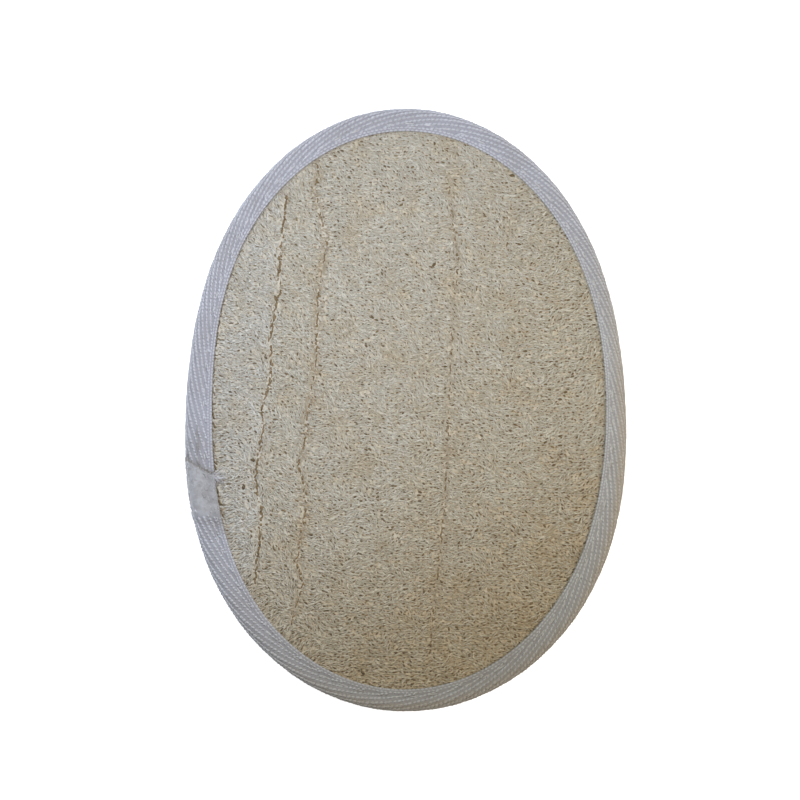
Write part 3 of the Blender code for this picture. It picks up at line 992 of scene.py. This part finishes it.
def tape_point(sweep_angle, across, lift):
    """A point over the folded tape. The sweep runs from its hidden end to its lapped end, and
    across from the upper inner edge (0) round the fold to the lower inner edge (1)."""
    angle = LAP_END - sweep_angle
    lap = LAP_THICKNESS * ease(sweep_angle, math.tau - LAP_STEP, math.tau)
    leg = tape_width(angle) - FOLD_DEPTH
    length = across * (2 * leg + FOLD_LENGTH)
    on_fold = np.clip(length - leg, 0, FOLD_LENGTH)
    turn = np.interp(on_fold, FOLD_LENGTHS, FOLD_ANGLES)
    past = np.maximum(leg - length, 0) + np.maximum(length - leg - FOLD_LENGTH, 0)
    inset = FOLD_DEPTH - (FOLD_DEPTH + lap * LAP_OUTSIDE) * np.cos(turn) + past
    inset = inset + TAPE_CLEARANCE
    height = (BOUND_HALF + lap * np.where(turn > 0, 1, LAP_BELOW)) * np.sin(turn)
    seam = tape_width(angle) - SEAM_INSET
    stitch = np.sin(STITCH_COUNT * angle / 2) ** 2
    groove = bell(inset - seam, SEAM_HALF_WIDTH) * (SEAM_DEPTH + STITCH_PULL * (1 - stitch))
    edge = EDGE_DROP * np.exp(-np.maximum(leg - past, 0) / EDGE_FALL)
    pucker = PUCKER * np.sin(angle * 61 + across * 5) * np.sin(angle * 37)
    out = lift + pucker - (groove + edge) * (past > 0)
    normal_in = -np.cos(turn) / FOLD_DEPTH
    normal_up = np.sin(turn) / BOUND_HALF
    size = np.hypot(normal_in, normal_up)
    to_end = np.clip((sweep_angle - STRIP_SWEEP + LAP_EASE) / LAP_EASE, 0, 1)
    leaning = angle + LAP_SLANT * to_end * np.maximum(inset, 0) / TAPE_WIDTH
    distance = reach(leaning, inset + out * normal_in / size)
    height = rim_height(leaning) + height + out * normal_up / size
    return np.stack((distance * np.cos(leaning), distance * np.sin(leaning), height), axis=-1)


def tape_marks(sweep_angle, across):
    """Numbers for the tape's material: painted shade in the slit at the lap's end, its painted
    shadow and the fold beside it, darker in a smudge and towards the inner edge on the lap, how
    near the outer edge it is, and how felted."""
    angle = LAP_END - sweep_angle
    leg = (tape_width(angle) - FOLD_DEPTH) / TAPE_FLAT_WIDTH
    inset = np.maximum(leg - across, 0) * TAPE_FLAT_WIDTH + FOLD_DEPTH * (across < leg)
    inset = np.where(across < leg + 0.5 * FOLD_LENGTH / TAPE_FLAT_WIDTH, inset, 0)
    on_lap = sweep_angle > math.tau - 0.1
    upper = across < 0.45
    slant = np.where(on_lap, 0, LAP_SLANT)
    above = (LAP_START - angle % math.tau + slant * inset / TAPE_WIDTH) * LAP_DISTANCE
    # Painted shade in the slit at the lap's end, its painted shadow above, and painted shade in
    # the fold beside it
    slit = 0.8 * bell(above, 0.45 * MM)
    shadow = 0.35 * np.exp(-np.maximum(above, 0) / (1.2 * MM)) * (above > 0)
    beside = ease(above, -0.2 * MM, 0.8 * MM) * ease(above, 10 * MM, 7 * MM)
    fold = 0.6 * bell(inset - 3.7 * MM, 0.3 * MM) * beside
    smudge = 0.25 * bell(np.hypot(above + 7 * MM, (inset - 3.5 * MM) * 1.5), 1.6 * MM)
    inner = 0.22 * ease(inset, 3.2 * MM, 5.4 * MM)
    shade_and_dirt = upper * (slit + shadow + fold + on_lap * (smudge + inner))
    patch = 0.75 * upper * ease(sweep_angle, math.tau - 0.02, math.tau + 0.03)
    return {"shade_and_dirt": np.clip(shade_and_dirt, 0, 1), "edge": bell(inset, 1.9 * MM), "patch": patch}


def tape_sheet(finish):
    """The tape itself: one strip, folded over the edge and lapped over its own start."""
    bm = bmesh.new()
    bm.loops.layers.uv.new("weave")
    bmesh.ops.create_grid(bm, x_segments=400, y_segments=22, size=1, calc_uvs=True)
    grid = (positions(bm.verts) + 1) / 2
    sweep_angle = grid[:, 0] * STRIP_SWEEP
    across = grid[:, 1]
    move_to(bm, tape_point(sweep_angle, across, 0))
    bmesh.ops.recalc_face_normals(bm, faces=bm.faces)
    mesh = bm_to_mesh(bm)
    shade = np.full(len(grid), 0.9)
    add_values(mesh, {"shade": shade, **tape_marks(sweep_angle, across)}, 1)
    tape = add_piece("cotton_tape", mesh, finish, "cotton_tape")
    wall = tape.modifiers.new("wall", "SOLIDIFY")
    wall.thickness = TAPE_THICKNESS
    wall.offset = -1
    return tape


def yarn_rows(along, across, half, lean, width, lift):
    """A row of short yarns for tape_strands. Along and across place their middles; half and
    lean are how far their ends go along and across the tape."""
    return np.stack(np.broadcast_arrays(along, across, half, lean, width, lift))


def tape_strands(name, yarns, finish, slot):
    """One piece of short yarns on the tape, bent down a little at their ends."""
    along, across, half, lean, width, lift = yarns
    steps = np.array((-1.0, 0.0, 1.0))
    sweep_angle = along[:, None] * STRIP_SWEEP
    sweep_angle = sweep_angle + steps * (half / TAPE_FLAT_LENGTH * STRIP_SWEEP)[:, None]
    sweep_angle = np.clip(sweep_angle, 0.001, STRIP_SWEEP - 0.001)
    place = np.clip(across[:, None] + steps * (lean / TAPE_FLAT_WIDTH)[:, None], 0.004, 0.996)
    lift = lift[:, None] + np.array(YARN_BEND)
    paths = tape_point(sweep_angle, place, lift)
    ups = unit(tape_point(sweep_angle, place, lift + 0.1 * MM) - paths)
    widths = width[:, None] * np.array(YARN_TAPER)
    marks = tape_marks(along * STRIP_SWEEP, across)
    values = {"shade": rng.uniform(0, 1, len(along)), **marks}
    return add_strands(name, paths, ups, widths, DIAMOND, finish, slot, values)


def tape_weave(finish):
    """The twill: ribs of short floats that run aslant along the tape, between plain edges.
    Most of them are worn off the felted patch on the lap."""
    per_row = int(TAPE_FLAT_LENGTH / YARN_PITCH)
    margin = EDGE_WIDTH / TAPE_FLAT_WIDTH
    band = 1 - 2 * margin
    rows = []
    for row in range(WEAVE_ROWS + 2 * EDGE_ROWS):
        along = np.arange(per_row) + 0.5 * (row % 2) + rng.normal(0, 0.06, per_row)
        along = along / per_row
        if row < WEAVE_ROWS:
            drift = 0.2 * along * TAPE_FLAT_LENGTH / TAPE_FLAT_WIDTH
            across = margin + (band * ((row + 0.5) / WEAVE_ROWS) + drift) % band
            yarn = TWILL_YARN
        else:
            across = (row % EDGE_ROWS + 0.5) / EDGE_ROWS * margin
            across = across if row < WEAVE_ROWS + EDGE_ROWS else 1 - across
            yarn = EDGE_YARN
        rows.append(yarn_rows(along, across, *yarn))
    along, across, half, lean, width, lift = np.concatenate(rows, axis=1)
    patch = (along * STRIP_SWEEP > math.tau) & (across < 0.47)
    shown = ~patch | (rng.uniform(0, 1, len(along)) < 0.15)
    width = width * rng.uniform(0.9, 1.1, len(along))
    yarns = yarn_rows(along, across, half, lean, width, lift)[:, shown]
    return tape_strands("tape_weave", yarns, finish, "cotton_tape")


def under_lap(angle, inset):
    """A point on the face side of the tape at an angle and inset, below the lap's layer."""
    across = (tape_width(angle) - inset) / TAPE_FLAT_WIDTH
    return tape_point(LAP_END - angle, np.clip(across, 0, 0.5), 0.25 * MM)


def lap_hairs(count):
    """Short curly hairs over the felted patch on the lap."""
    sweep_angle = STRIP_SWEEP - rng.uniform(0, 1, count) ** 1.3 * 0.21
    lift = rng.uniform(-0.06, 0.08, count) * MM
    place = tape_point(sweep_angle, rng.uniform(0.01, 0.45, count), lift)
    turn = rng.uniform(0, math.tau, count)
    length = rng.uniform(0.35, 1.0, count) * MM
    curl = rng.normal(0, 0.5, count)
    points = [place]
    for _ in range(3):
        way = np.stack((np.cos(turn), np.sin(turn), 0 * turn), axis=1)
        points.append(points[-1] + way * length[:, None] / 3)
        turn = turn + curl
    return np.stack(points, axis=1)


def lap_frays(count):
    """Loose ends of yarns that spread from the lap's inner corner over the loofah."""
    steps = np.linspace(0, 1, 4)
    sweep_angle = STRIP_SWEEP - rng.uniform(0, 0.03, count)
    root = tape_point(sweep_angle, rng.uniform(0.005, 0.06, count), -0.1 * MM)
    away = rng.uniform(-1.0, 0.5, count)[:, None] + rng.normal(0, 0.6, count)[:, None] * steps
    length = rng.uniform(0.6, 3.6, count)[:, None] * MM * steps
    x = root[:, :1] + length * np.cos(away)
    y = root[:, 1:2] + length * np.sin(away)
    z = root[:, 2:] - 0.2 * MM * np.sin(steps * 2) + rng.uniform(0, 0.2, count)[:, None] * MM
    return np.stack((x, y, z), axis=-1)


def lap_slit():
    """Dark short lines of painted shade in the slit under the lap's end."""
    steps = np.linspace(-0.5, 0.5, 4)
    inset = np.linspace(0.5, 6.6, SLIT_LINES)[:, None] * MM + steps * 0.5 * MM
    angle = LAP_START + LAP_SLANT * inset / TAPE_WIDTH
    return under_lap(angle - rng.uniform(0.002, 0.007, (SLIT_LINES, 1)), inset)


def lap_fold():
    """Dark short lines of painted shade in the fold that runs up the tape from the lap."""
    steps = np.linspace(-0.5, 0.5, 4)
    angle = np.radians(np.linspace(184.5, 191.5, FOLD_LINES))[:, None] + steps * 0.02
    inset = (3.5 + rng.uniform(-0.15, 0.15, (FOLD_LINES, 1))) * MM
    return under_lap(angle, inset)


def fuzz(finish):
    """Hairs, frays and dark lines of painted shade of the lap, each kind with its half width and
    the darkness of its painted shade.
    """
    kinds = (
        (lap_hairs(170), 0.06 * MM, 0.0),
        (lap_frays(26), 0.09 * MM, 0.0),
        (lap_slit(), 0.26 * MM, 0.9),
        (lap_fold(), 0.14 * MM, 0.5),
    )
    strands, half_widths, shade_and_dirt = zip(*kinds)
    paths = np.concatenate(strands)
    counts = [len(kind) for kind in strands]
    thick = np.repeat(half_widths, counts) * rng.uniform(0.75, 1.2, len(paths))
    widths = swell(len(paths), 4, 0.5) * thick[:, None]
    shade_and_dirt = np.repeat(shade_and_dirt, counts)
    ups = np.broadcast_to((0.0, 0.0, 1.0), paths.shape)
    zero = 0 * shade_and_dirt
    values = {"shade": zero, "shade_and_dirt": shade_and_dirt, "edge": zero, "patch": zero}
    return add_strands("tape_fuzz", paths, ups, widths, TRIANGLE, finish, "cotton_tape", values)


def seam(finish):
    """The sunk stitches of the seam on both sides of the tape."""
    count = int(STITCH_COUNT * STRIP_SWEEP / math.tau)
    along = (np.arange(count) + 0.5) / count
    depth = SEAM_INSET / TAPE_FLAT_WIDTH
    pieces = []
    for name, across in (("face_stitches", depth), ("back_stitches", 1 - depth)):
        stitches = yarn_rows(along, across, *STITCH_YARN)
        pieces.append(tape_strands(name, stitches, finish, "cotton_thread"))
    return pieces


# The whole pad, and the studio round it


def dress_loofah():
    """The loofah's pieces, with rust on the slots of painted shade along the creases and in the
    gap of its left half.
    """
    fibre = fibre_finish()
    pore = pore_finish()
    ground = loofah_ground(ground_finish())
    groups = (big_pores(), crease_pores(), edge_pores(), scattered_pores(PORE_PITCH))
    pores = np.concatenate(groups)
    rust = np.repeat((0.0, 0.42, 0.15, 0.0), [len(group) for group in groups])
    pore_plugs("face_pores", pores, rust * (pores[:, 0] < 0), 1, pore)
    for name in FACE_LAYERS:
        felt_layer(name, FACE_COUNT, 1, pores, fibre, FACE_FIBRES)
    pores = scattered_pores(BACK_PORE_PITCH)
    pore_plugs("back_pores", pores, np.zeros(len(pores)), -1, pore)
    felt_layer("fibres_back", BACK_COUNT, -1, pores, fibre, BACK_FIBRES)
    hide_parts("loofah_pad")


def dress_tape():
    thread = cotton_finish("sewing_cotton", THREAD_TONES)
    # Painted shade darkens the cloth between the yarns
    tape = tape_sheet(cotton_finish("shaded_cotton_between", SUNK_SHADE_TONES))
    weave = tape_weave(cotton_finish("bleached_cotton", YARN_TONES))
    stitches = seam(thread)
    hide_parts("binding_tape")
    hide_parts("needle_thread")
    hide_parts("bobbin_thread")
    fuzz(thread)


def studio():
    """Lit white table, cool light from the upper left, weak warm light from the lower right
    and a camera straight above."""
    bm = bmesh.new()
    bmesh.ops.create_grid(bm, x_segments=4, y_segments=4, size=FLOOR_HALF)
    add_piece("floor", bm_to_mesh(bm), floor_finish(), None)
    scene = bpy.context.scene
    world = bpy.data.worlds.new("soft_room")
    world.use_nodes = True
    backdrop = world.node_tree.nodes["Background"]
    backdrop.inputs["Color"].default_value = (*WHITE, 1)
    backdrop.inputs["Strength"].default_value = ROOM_LIGHT
    scene.world = world
    for name, (place, colour, power, size) in LIGHTS.items():
        light = bpy.data.lights.new(name, "AREA")
        light.energy = power
        light.color = colour
        light.size = size
        lit = bpy.data.objects.new(name, light)
        lit.location = place
        lit.rotation_euler = (-Vector(place)).to_track_quat("-Z", "Y").to_euler()
        scene.collection.objects.link(lit)
    camera = bpy.data.cameras.new("camera")
    camera.sensor_width = SENSOR_WIDTH
    camera.lens = SENSOR_WIDTH * CAMERA_HEIGHT / SEEN_WIDTH
    seen = bpy.data.objects.new("camera", camera)
    seen.location = (*CAMERA_PLACE, CAMERA_HEIGHT + CAMERA_LEVEL)
    scene.collection.objects.link(seen)
    scene.camera = seen
    scene.view_settings.view_transform = "Standard"


dress_loofah()
dress_tape()
studio()
